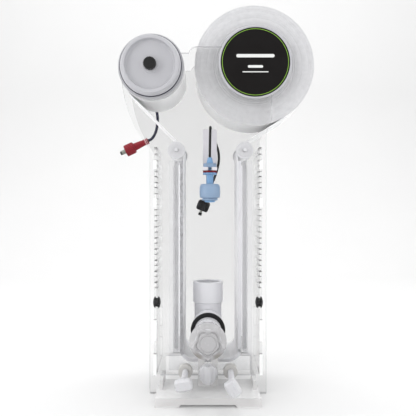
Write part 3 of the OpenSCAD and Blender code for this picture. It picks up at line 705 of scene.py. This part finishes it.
def add_hub():
    """White hub with a rounded rim, and a black disc in its seat."""
    front, back = low("supply_hub").y, high("supply_hub").y
    outer, seat = half_width("supply_hub"), half_width("hub_label")
    floor, lip, slack = front + 1 * MM, outer - 1 * MM, 0.15 * MM
    corners = [(0, floor), (seat, floor), (seat, front), (outer, front), (outer, back - 1.6 * MM),
               (lip, back - 1.2 * MM), (lip, back), (0, back)]
    hub = turned("hub", SUPPLY, Y, corners, 0.8 * MM, cup_plastic, "spindle", 160)
    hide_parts("supply_hub")
    label_front, edge = front + slack, seat - slack
    corners = [(0, label_front), (edge, label_front), (edge, floor), (0, floor)]
    face = label_face("label_face", SUPPLY, seat - 2.2 * MM)
    label = turned("label", SUPPLY, Y, corners, 0.2 * MM, face, "spindle", 160)
    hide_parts("hub_label")
    add_label_bars(label_front)


def add_label_bars(label_front):
    """Plain raised bars where such a label is usually printed."""
    thickness = 0.1 * MM
    # Width, height and place above the disc's middle, in millimetres
    bars = ((50, 4.4, 8), (20, 3.4, -6), (34, 1.3, -13))
    for i, (width, height, above) in enumerate(bars):
        centre = Vector((SUPPLY.x, label_front - thickness / 2, SUPPLY.z + above * MM))
        outline = []
        radius = height * MM / 2
        reach = width * MM / 2 - radius
        for side, start in ((1, -math.pi / 2), (-1, math.pi / 2)):
            corner = Vector((centre.x + side * reach, centre.z))
            outline += arc(corner, radius, start, start + math.pi, 12)
        points = [Vector((p.x, centre.y + s * thickness / 2, p.y)) for s in (-1, 1) for p in outline]
        n = len(outline)
        faces = [list(range(n)), list(range(2 * n - 1, n - 1, -1))]
        faces += [[k, (k + 1) % n, n + (k + 1) % n, n + k] for k in range(n)]
        bar = add_piece(f"label_bar_{i}", points, faces, print_white, "spindle")


def add_takeup():
    """White cup that narrows to its front rim, its dark band, its flange and the knurled nut."""
    front, back = low("takeup_cap").y, high("takeup_cap").y
    flange, bore = half_width("takeup_cap"), half_width("takeup_shaft")
    recess, rim, wall, hub = 33 * MM, 37.4 * MM, 39.9 * MM, 11 * MM
    boss, floor, step = front + 4.5 * MM, front + 6 * MM, back - 2 * MM
    corners = [(bore, boss), (hub, boss), (hub, floor), (recess - 1.2 * MM, floor, 2 * MM),
               (recess, front, 0.8 * MM), (rim, front, 1 * MM), (wall, front + 9 * MM), (wall, step),
               (flange, step), (flange, back), (bore, back)]
    cap = turned("takeup_cup", TAKEUP, Y, corners, 0.5 * MM, cup_plastic, "takeup_spool", 160)
    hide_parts("takeup_cap")
    ring = half_width("takeup_ring")
    a, b = low("takeup_ring").y, high("takeup_ring").y
    corners = [(wall, a), (ring, a), (ring, b), (wall, b)]
    band = turned("takeup_band", TAKEUP, Y, corners, 0.8 * MM, ring_navy, "takeup_spool", 160)
    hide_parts("takeup_ring")
    nut = half_width("takeup_nut")
    a, b = low("takeup_nut").y, high("takeup_nut").y
    inner, face_back = bore + RUN_GAP, a + 1.2 * MM
    corners = [(0, a), (nut - 1.5 * MM, a), (nut, face_back), (nut, b - 2 * MM),
               (nut - 1 * MM, b - 2 * MM), (nut - 1 * MM, b), (inner, b), (inner, face_back),
               (0, face_back)]
    knurl = ribs(24, 0.7 * MM, a + 0.8 * MM, b - 1.9 * MM)
    piece = turned("takeup_knob", TAKEUP, Y, corners, 0.3 * MM, black_plastic, "spool_nut", 240, knurl)
    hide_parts("takeup_nut")


def add_guide_rollers():
    """Plain rollers with fine turned grooves, and a stepped cap at each end."""
    bore = 2.5 * MM + RUN_GAP
    step_in, step = 3 * MM, 0.6 * MM
    for side in ("left", "right"):
        node, caps = f"guide_roller_{side}", f"roller_caps_{side}"
        body = f"roller_{side}"
        outer = half_width(node)
        a, b = low(node).y, high(node).y
        grooves = 16
        corners = [(bore, a)]
        for i in range(grooves):
            y = a + (b - a) * (i + 0.5) / grooves
            corners += [(outer, y - 2 * MM), (outer - 0.25 * MM, y + 2.1 * MM), (outer, y + 2.3 * MM)]
        corners += [(outer, b), (bore, b)]
        roller = lathe(f"roller_{side}", middle(node), Y, corners, white_plastic, body, 64)
        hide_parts(node)
        cap_outer = half_width(caps)
        thickness = a - low(caps).y
        for end, y, inward in (("front", low(caps).y, 1), ("rear", high(caps).y, -1)):
            rim, inside = y + inward * step, y + inward * thickness
            corners = [(bore, y), (cap_outer - step_in, y), (cap_outer - step_in, rim),
                       (cap_outer, rim), (cap_outer, inside), (bore, inside)]
            name = f"roller_cap_{side}_{end}"
            turned(name, middle(caps), Y, corners, 0.4 * MM, cap_plastic, body, 64)
        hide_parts(caps)


# ---------- motor and its plug ----------


def add_motor():
    """Gearbox with a raised rim at each end, and the plain can behind it."""
    front, back = low("motor_body").y, high("motor_body").y
    gear, can = half_width("motor_body"), half_width("motor_body") - 1 * MM
    bore, bore_end = 4.1 * MM, front + 9 * MM
    waist, split, dish = gear - 0.6 * MM, front + 22.5 * MM, back - 1 * MM
    corners = [(bore, front), (gear, front), (gear, front + 3 * MM), (waist, front + 3.4 * MM),
               (waist, split - 2 * MM), (gear, split - 2 * MM), (gear, split), (can, split + 0.5 * MM),
               (can, back - 1.5 * MM), (can - 1.5 * MM, back), (5 * MM, back), (5 * MM, dish), (0, dish)]
    profile = [(0, bore_end), (bore, bore_end), *rounded(corners, 0.4 * MM, closed=False)]
    motor = lathe("motor", TAKEUP, Y, profile, motor_metal, "chamber", 96)
    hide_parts("motor_body")


def add_motor_plug(start):
    """Boot with two rings, ribbed nut, metal barrel and its dark tip."""
    way = Vector((math.cos(PLUG_HEADING), 0, math.sin(PLUG_HEADING)))
    boot_length, nut_length = 23 * MM, 15 * MM
    wide, groove, ring_width = 4.8 * MM, 3.8 * MM, 1.1 * MM
    ring_starts = (1.6 * MM, 4.0 * MM)
    boot_profile = [(0, 0), (wide, 0)]
    for ring_start in ring_starts:
        ring_end = ring_start + ring_width
        boot_profile += [(wide, ring_start), (groove, ring_start), (groove, ring_end), (wide, ring_end)]
    boot_profile += [(4.5 * MM, 6.2 * MM), (5.9 * MM, boot_length), (0, boot_length)]
    boot = turned("plug_boot", start, way, boot_profile, 0.2 * MM, plug_red, "chamber", 48)
    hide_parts("motor_plug_boot")
    rings = []
    for i, a in enumerate(ring_starts):
        b = a + ring_width
        corners = [(groove, a), (wide, a), (wide, b), (groove, b)]
        ring = turned(f"plug_ring_{i}", start, way, corners, 0.2 * MM, ring_pink, "chamber", 48)
        rings.append(ring)
    a = boot_length
    nut_profile = [(0, a), (7.2 * MM, a), (9 * MM, a + 1.8 * MM), (9 * MM, a + nut_length - 1 * MM),
                   (8.4 * MM, a + nut_length), (0, a + nut_length)]
    grip = ribs(20, 0.6 * MM, a + 1.5 * MM, a + nut_length - 0.9 * MM)
    nut = turned("plug_nut", start, way, nut_profile, 0.3 * MM, plug_red, "chamber", 160, grip)
    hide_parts("motor_plug_nut")
    a += nut_length
    barrel_profile = [(0, a), (3.6 * MM, a), (3.6 * MM, a + 2 * MM), (3.3 * MM, a + 2.3 * MM),
                      (3.3 * MM, a + 6.2 * MM), (0, a + 6.2 * MM)]
    barrel = turned("plug_barrel", start, way, barrel_profile, 0.2 * MM, plug_metal, "chamber", 48)
    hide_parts("motor_plug_barrel")
    a += 6.2 * MM
    tip_profile = [(0, a), (3.0 * MM, a), (3.0 * MM, a + 2.3 * MM), (1.3 * MM, a + 2.7 * MM),
                   (1.3 * MM, a + 1.2 * MM), (0, a + 1.2 * MM)]
    tip = lathe("plug_tip", start, way, tip_profile, black_plastic, "chamber", 48)
    return [boot, *rings, nut, barrel, tip]


# ---------- inlet ----------


def add_inlet():
    """Riser, rubber ring, tailpiece and the lobed union nut."""
    centre = middle("inlet_tailpiece")
    top, base = high("inlet_riser").z, low("inlet_riser").z
    socket, pipe = half_width("inlet_riser"), 19 * MM
    bore, seat = 14 * MM, 16.07 * MM
    shoulder = top - 29 * MM
    seat_end = top - 24 * MM
    corners = [(bore, base), (pipe, base), (pipe, shoulder - 0.5 * MM), (socket, shoulder + 0.5 * MM),
               (socket, top, 1 * MM), (seat, top, 1 * MM), (seat, seat_end), (bore, seat_end)]
    riser = turned("riser", middle("inlet_riser"), Z, corners, 0.4 * MM, pvc, "chamber")
    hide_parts("inlet_riser")

    front = low("inlet_grommet").y
    plate_front = low("front_plate").y
    plate_back = high("front_plate").y
    ring, hole, inner = half_width("inlet_grommet"), 19.5 * MM, 16.05 * MM
    back = high("inlet_grommet").y
    flange = 21.5 * MM
    corners = [(inner, front), (ring, front, 1.8 * MM), (ring, plate_front), (hole, plate_front),
               (hole, plate_back), (flange, plate_back), (flange, back), (inner, back)]
    grommet = turned("inlet_ring", centre, Y, corners, 0.5 * MM, rubber, "chamber", 128)
    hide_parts("inlet_grommet")

    a, b = low("inlet_tailpiece").y, high("inlet_tailpiece").y
    collar_front, collar_back = plate_front - 22 * MM, plate_front - 3.6 * MM
    collar = half_width("inlet_tailpiece")
    inside, outside = 13 * MM, 16 * MM
    corners = [(inside, a), (outside, a), (outside, collar_front), (collar, collar_front, 1.2 * MM),
               (collar, collar_back, 0.8 * MM), (outside, collar_back), (outside, b), (inside, b)]
    tail = turned("tailpiece", centre, Y, corners, 0.3 * MM, nylon, "tailpiece")
    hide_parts("inlet_tailpiece")
    add_union_nut(centre)


def add_union_nut(centre):
    """Round head with five scallops in its front, a raised face and a faceted skirt."""
    front, back = low("inlet_nut").y, high("inlet_nut").y
    head, face, tail = half_width("inlet_nut"), 12.6 * MM, 17.6 * MM

    def shape(angle, r, place):
        depth = place - front
        if r < face * 1.05 or r > head * 1.02:
            return r
        bite = abs(math.cos(NUT_LOBES / 2 * (angle - math.pi / 2)))
        if depth < 9 * MM:
            fade = 1 - max(0.0, depth - 6 * MM) / (3 * MM)
            return r - 7.5 * MM * bite * fade * (r - face) / (head - face)
        if depth > 16.5 * MM and r > 16.5 * MM:
            part = math.pi / NUT_LOBES
            return r * math.cos(part / 2) / math.cos((angle % part) - part / 2)
        return r

    bore, bore_end = 16.1 * MM, front + 5 * MM
    corners = [
        (0, front), (face, front, 0.6 * MM), (face, front + 2 * MM), (head - 4.6 * MM, front + 2 * MM),
        (head - 1.5 * MM, front + 3.2 * MM), (head, front + 5.5 * MM), (head, front + 8 * MM),
        (head, front + 9.5 * MM), (head, front + 15 * MM), (head - 0.6 * MM, front + 16.4 * MM),
        (head - 1 * MM, front + 17 * MM), (tail, back - 1 * MM), (tail - 0.6 * MM, back),
        (bore, back), (bore, bore_end), (0, bore_end),
    ]
    nut = turned("union_nut", centre, Y, corners, 0.5 * MM, nut_plastic, "union_nut", 200, shape)
    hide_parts("inlet_nut")


def add_side_grommets():
    """Domed rubber grommet in each side wall."""
    node = "side_grommets"
    radius = (high(node).z - low(node).z) / 2
    reach, wall, bore = 5 * MM, 2 * MM, 2 * MM
    for side, x in (("left", low(node).x + reach), ("right", high(node).x - reach)):
        dome = [(radius * math.cos(a), wall + (reach - wall) * math.sin(a))
                for a in (math.pi / 2 * i / 8 for i in range(7))]
        profile = [(bore, x - reach)]
        profile += [(max(r, bore + 0.8 * MM), x - d) for r, d in reversed(dome)]
        profile += [(6 * MM, x - wall), (6 * MM, x + wall)]
        profile += [(max(r, bore + 0.8 * MM), x + d) for r, d in dome]
        profile += [(bore, x + reach)]
        piece = lathe(f"side_ring_{side}", middle(node), X, profile, rubber, "chamber", 64)
        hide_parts(node)


# ---------- float switch ----------


def add_float_switch():
    """Hexagon nut and cone above the shelf, red washer, stem, clip and the float."""
    gland = "float_gland"
    centre = middle("float")
    base, top = low(gland).z, high(gland).z
    corner = half_width(gland)
    split = base + 5.9 * MM
    corners = [(0, base), (corner, base), (corner, split), (0, split)]
    nut = turned("float_nut", centre, Z, corners, 0.5 * MM, float_pale, "chamber", 96, hexagon(corner))
    corners = [(0, split), (4.8 * MM, split), (2.9 * MM, top, 0.8 * MM), (0, top)]
    cone = turned("float_cone", centre, Z, corners, 0.4 * MM, float_blue, "chamber", 48)
    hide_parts(gland)
    upright_tube("float_washer", "float_gasket", 5 * MM, gasket_red)

    a, b = low("float_stem").z, high("float_stem").z
    collar = high("float_stem").x - centre.x
    stem = 4.9 * MM
    seat = low("float_gasket").z
    under = seat - 2.8 * MM
    corners = [(0, a), (stem, a), (stem, under), (collar, under), (collar, seat), (stem, seat),
               (stem, b), (0, b)]
    flats = hexagon(collar)
    piece = turned("float_guide", centre, Z, corners, 0.4 * MM, float_blue, "chamber", 96, flats)
    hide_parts("float_stem")
    upright_tube("float_stop", "float_clip", stem, float_blue)

    a, b = low("float").z, high("float").z
    outer, inner = half_width("float"), stem + RUN_GAP
    groove = outer - 4 * MM
    corners = [(inner, a), (outer - 3.6 * MM, a, 0.6 * MM), (outer - 2.8 * MM, a + 2.4 * MM, 0.3 * MM),
               (groove, a + 2.8 * MM, 0.1 * MM), (groove, a + 3.4 * MM, 0.1 * MM),
               (outer - 0.6 * MM, a + 3.8 * MM, 0.6 * MM), (outer, a + 8 * MM, 2 * MM),
               (outer, b - 4 * MM, 2 * MM), (outer - 2 * MM, b, 1.2 * MM), (inner, b)]
    piece = turned("float_body", centre, Z, corners, 0.8 * MM, float_pale, "float_body")
    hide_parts("float")


def add_float_plug(start):
    """Boot, ribbed body, metal pin and round tip."""
    way = Vector((-math.sin(PLUG_TILT), 0, -math.cos(PLUG_TILT)))
    body = [(0, 0), (3 * MM, 0), (5 * MM, 4.4 * MM), (7.4 * MM, 4.4 * MM), (8.6 * MM, 7 * MM),
            (8.6 * MM, 16.5 * MM), (7 * MM, 18.5 * MM), (0, 18.5 * MM)]
    grip = ribs(16, 0.5 * MM, 7.2 * MM, 16.7 * MM)
    shell = turned("float_plug_body", start, way, body, 0.6 * MM, cable_black, "chamber", 128, grip)
    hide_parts("float_plug")
    radius, a, b = 1.7 * MM, 18.4 * MM, 21.6 * MM
    corners = [(0, a), (radius, a), (radius, b), (0, b)]
    pin = lathe("float_plug_pin", start, way, corners, plug_metal, "chamber", 32)
    radius, a, b = 2.6 * MM, 21.5 * MM, 25.5 * MM
    corners = [(0, a), (radius, a), (radius, b), (0, b)]
    tip = turned("float_plug_tip", start, way, corners, 1.2 * MM, cable_black, "chamber", 32)
    return [shell, pin, tip]


# ---------- thumb screws ----------

# A head's sections, from the front backwards: millimetres behind the front, half of the
# length and half of the height in millimetres, and the squareness
FLAT_HEAD = ((0, 8.8, 4.8, 5), (0.7, 9.6, 5.6, 5), (5, 10.8, 8, 4), (7, 10.8, 8.2, 4),
             (9, 9.8, 7.8, 3.2), (12, 7.8, 6.6, 2.6), (15, 6.2, 5.9, 2.1), (16, 5.8, 5.8, 2))
RIDGED_HEAD = ((0, 11, 2.6, 4), (0.8, 11.6, 3.4, 4), (4, 12, 4.6, 3.6), (5, 12, 8.8, 3),
               (9, 12.4, 10.4, 2.6), (12, 12.5, 12.2, 2.2), (14.6, 12.4, 12.4, 2), (15.2, 9.6, 9.6, 2),
               (16, 5.8, 5.8, 2))


def add_screw_shaft(name, centre, neck, back):
    """Neck and threaded shaft of a thumb screw."""
    pitch, radius, neck_radius = 1.4 * MM, 4 * MM, 5 * MM
    start = neck + 9 * MM

    def thread(angle, r, place):
        if place < start or place > back - 0.5 * MM or r < radius * 0.9:
            return r
        return r - 0.4 * MM * (0.5 + 0.5 * math.cos(2 * math.pi * place / pitch + angle))

    profile = [(0, neck - 1 * MM)]
    profile += rounded([(neck_radius, neck - 1 * MM), (neck_radius, neck + 8 * MM),
                        (radius, neck + 8 * MM)], 0.8 * MM, closed=False)
    count = max(2, round((back - start) / pitch * 8))
    step = (back - 0.6 * MM - start) / count
    profile += [(radius, start + step * i) for i in range(count + 1)]
    profile += [(radius - 0.7 * MM, back), (0, back)]
    shaft = lathe(f"screw_shaft_{name}", centre, Y, profile, nylon, f"screw_{name}", 24, thread)


def section(centre, y, half_long, half_short, squareness, turn):
    """Closed outline round the Y axis: an ellipse at squareness 2, and boxier above it."""
    steps = 48
    result = []
    for k in range(steps):
        c, s = math.cos(2 * math.pi * k / steps), math.sin(2 * math.pi * k / steps)
        a = half_long * math.copysign(abs(c) ** (2 / squareness), c)
        b = half_short * math.copysign(abs(s) ** (2 / squareness), s)
        x = a * math.cos(turn) - b * math.sin(turn)
        z = a * math.sin(turn) + b * math.cos(turn)
        result.append(Vector((centre.x + x, y, centre.z + z)))
    return result


def add_thumb_screw(name, turn, shape):
    """Nylon thumb screw, its head drawn through a list of sections."""
    node = f"thumb_screw_{name}"
    centre = middle(node)
    front = low(node).y
    add_screw_shaft(name, centre, front + 16 * MM, high(node).y)
    rings = []
    for behind, half_long, half_short, squareness in shape:
        place = front + behind * MM
        rings.append(section(centre, place, half_long * MM, half_short * MM, squareness, turn))
    steps = len(rings[0])
    points = [p for ring in rings for p in ring]
    faces = [list(range(steps)), list(range(len(points) - steps, len(points)))]
    for i in range(len(rings) - 1):
        for k in range(steps):
            m = (k + 1) % steps
            faces.append([i * steps + k, i * steps + m, (i + 1) * steps + m, (i + 1) * steps + k])
    head = add_piece(f"screw_head_{name}", points, faces, nylon, f"screw_{name}", 28)
    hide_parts(node)


def add_bosses():
    """Round tapped bosses on the front plate, with a bevelled mouth."""
    node = "screw_bosses"
    radius = (high(node).z - low(node).z) / 2
    front, back = low(node).y, high(node).y
    bore = 4 * MM + RUN_GAP
    for side, x in (("left", low(node).x + radius), ("right", high(node).x - radius)):
        centre = Vector((x, 0, middle(node).z))
        corners = [(bore, front, 0.4 * MM), (radius, front, 1 * MM), (radius, back), (bore, back)]
        piece = turned(f"boss_{side}", centre, Y, corners, 0.1 * MM, boss_plastic, "chamber", 64)
        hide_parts(node)


# ---------- studio ----------

CAMERA_SIDE_LEVEL, FAR_SIDE_LEVEL = 0.65, 1.6


def add_backdrop():
    """Pale floor that curves up into a wall."""
    radius, wall, width = 0.8, 1.9, 4.0
    line = [Vector((-2.2, 0)), Vector((wall - radius, 0))]
    line += arc(Vector((wall - radius, radius)), radius, -math.pi / 2, 0, 24)
    line += [Vector((wall, 3.2))]
    points = [(side * width, p.x, p.y) for p in line for side in (-1, 1)]
    faces = [[2 * i, 2 * i + 1, 2 * i + 3, 2 * i + 2] for i in range(len(line) - 1)]
    mesh = bpy.data.meshes.new("backdrop")
    mesh.from_pydata(points, [], faces)
    mesh.shade_smooth()
    p = Paint("paper")
    tint = p.mix(p.noise(3, 2), (0.66, 0.66, 0.66), (0.68, 0.68, 0.68))
    mesh.materials.append(p.done(p.principled(Base_Color=tint, Roughness=0.9)))
    backdrop = bpy.data.objects.new("backdrop", mesh)
    bpy.context.scene.collection.objects.link(backdrop)


def add_light(name, place, aim, size, watts):
    data = bpy.data.lights.new(name, "AREA")
    data.shape = "RECTANGLE"
    data.size, data.size_y = size
    data.energy = watts
    lamp = bpy.data.objects.new(name, data)
    lamp.location = place
    lamp.rotation_euler = (Vector(aim) - Vector(place)).to_track_quat("-Z", "Y").to_euler()
    bpy.context.scene.collection.objects.link(lamp)


def studio_world():
    """White surroundings, dimmer on the camera's side, so that little shines back to it."""
    world = bpy.data.worlds.new("studio")
    world.use_nodes = True
    tree = world.node_tree
    place = tree.nodes.new("ShaderNodeTexCoord")
    split = tree.nodes.new("ShaderNodeSeparateXYZ")
    level = tree.nodes.new("ShaderNodeMapRange")
    background = tree.nodes["Background"]
    background.inputs["Color"].default_value = (1, 1, 1, 1)
    level.inputs["From Min"].default_value = -0.9
    level.inputs["From Max"].default_value = 0.3
    level.inputs["To Min"].default_value = CAMERA_SIDE_LEVEL
    level.inputs["To Max"].default_value = FAR_SIDE_LEVEL
    tree.links.new(place.outputs["Generated"], split.inputs[0])
    tree.links.new(split.outputs["Y"], level.inputs["Value"])
    tree.links.new(level.outputs[0], background.inputs["Strength"])
    return world


def add_studio():
    add_backdrop()
    target = (0, 0, 0.25)
    add_light("key", (-1.4, -1.4, 1.1), target, (1.4, 1.4), 11.5)
    add_light("fill", (1.5, -1.2, 0.35), target, (1.2, 1.4), 9.5)
    add_light("low", (-1.5, -1.0, 0.2), target, (1.0, 0.8), 6)
    add_light("top", (0, 0.2, 2.1), (0, 0.3, 0), (2.2, 1.6), 11)
    add_light("wall", (0, 0.5, 1.9), (0, 1.9, 0.5), (2.6, 0.8), 14)
    bpy.context.scene.world = studio_world()
    bpy.context.scene.view_settings.view_transform = "Standard"


# ---------- the scene ----------

add_camera()
motor_cord, motor_route, motor_length = add_cord(
    "motor_lead", MOTOR_CORD, MOTOR_CORD_RADIUS, cable_navy, "chamber", "motor_cable"
)
float_cord, float_route, float_length = add_cord(
    "float_lead", FLOAT_CORD, FLOAT_CORD_RADIUS, cable_black, "chamber", "float_cable"
)
add_motor_plug(motor_route[-1])
add_float_plug(float_route[-1])
add_guide_rollers()
add_web()
add_roll("supply_fleece", "fleece_roll", half_width("supply_core"), roll_fleece, "supply_roll", 60)
add_roll("takeup_fleece", "takeup_wrap", half_width("takeup_drum"), wrap_fleece, "takeup_spool", 9)
add_hub()
add_takeup()
add_motor()
add_inlet()
add_side_grommets()
add_float_switch()
add_bosses()
add_thumb_screw("left", math.radians(8), FLAT_HEAD)
add_thumb_screw("right", math.radians(-60), FLAT_HEAD)
add_thumb_screw("centre", math.radians(-90), RIDGED_HEAD)
add_studio()
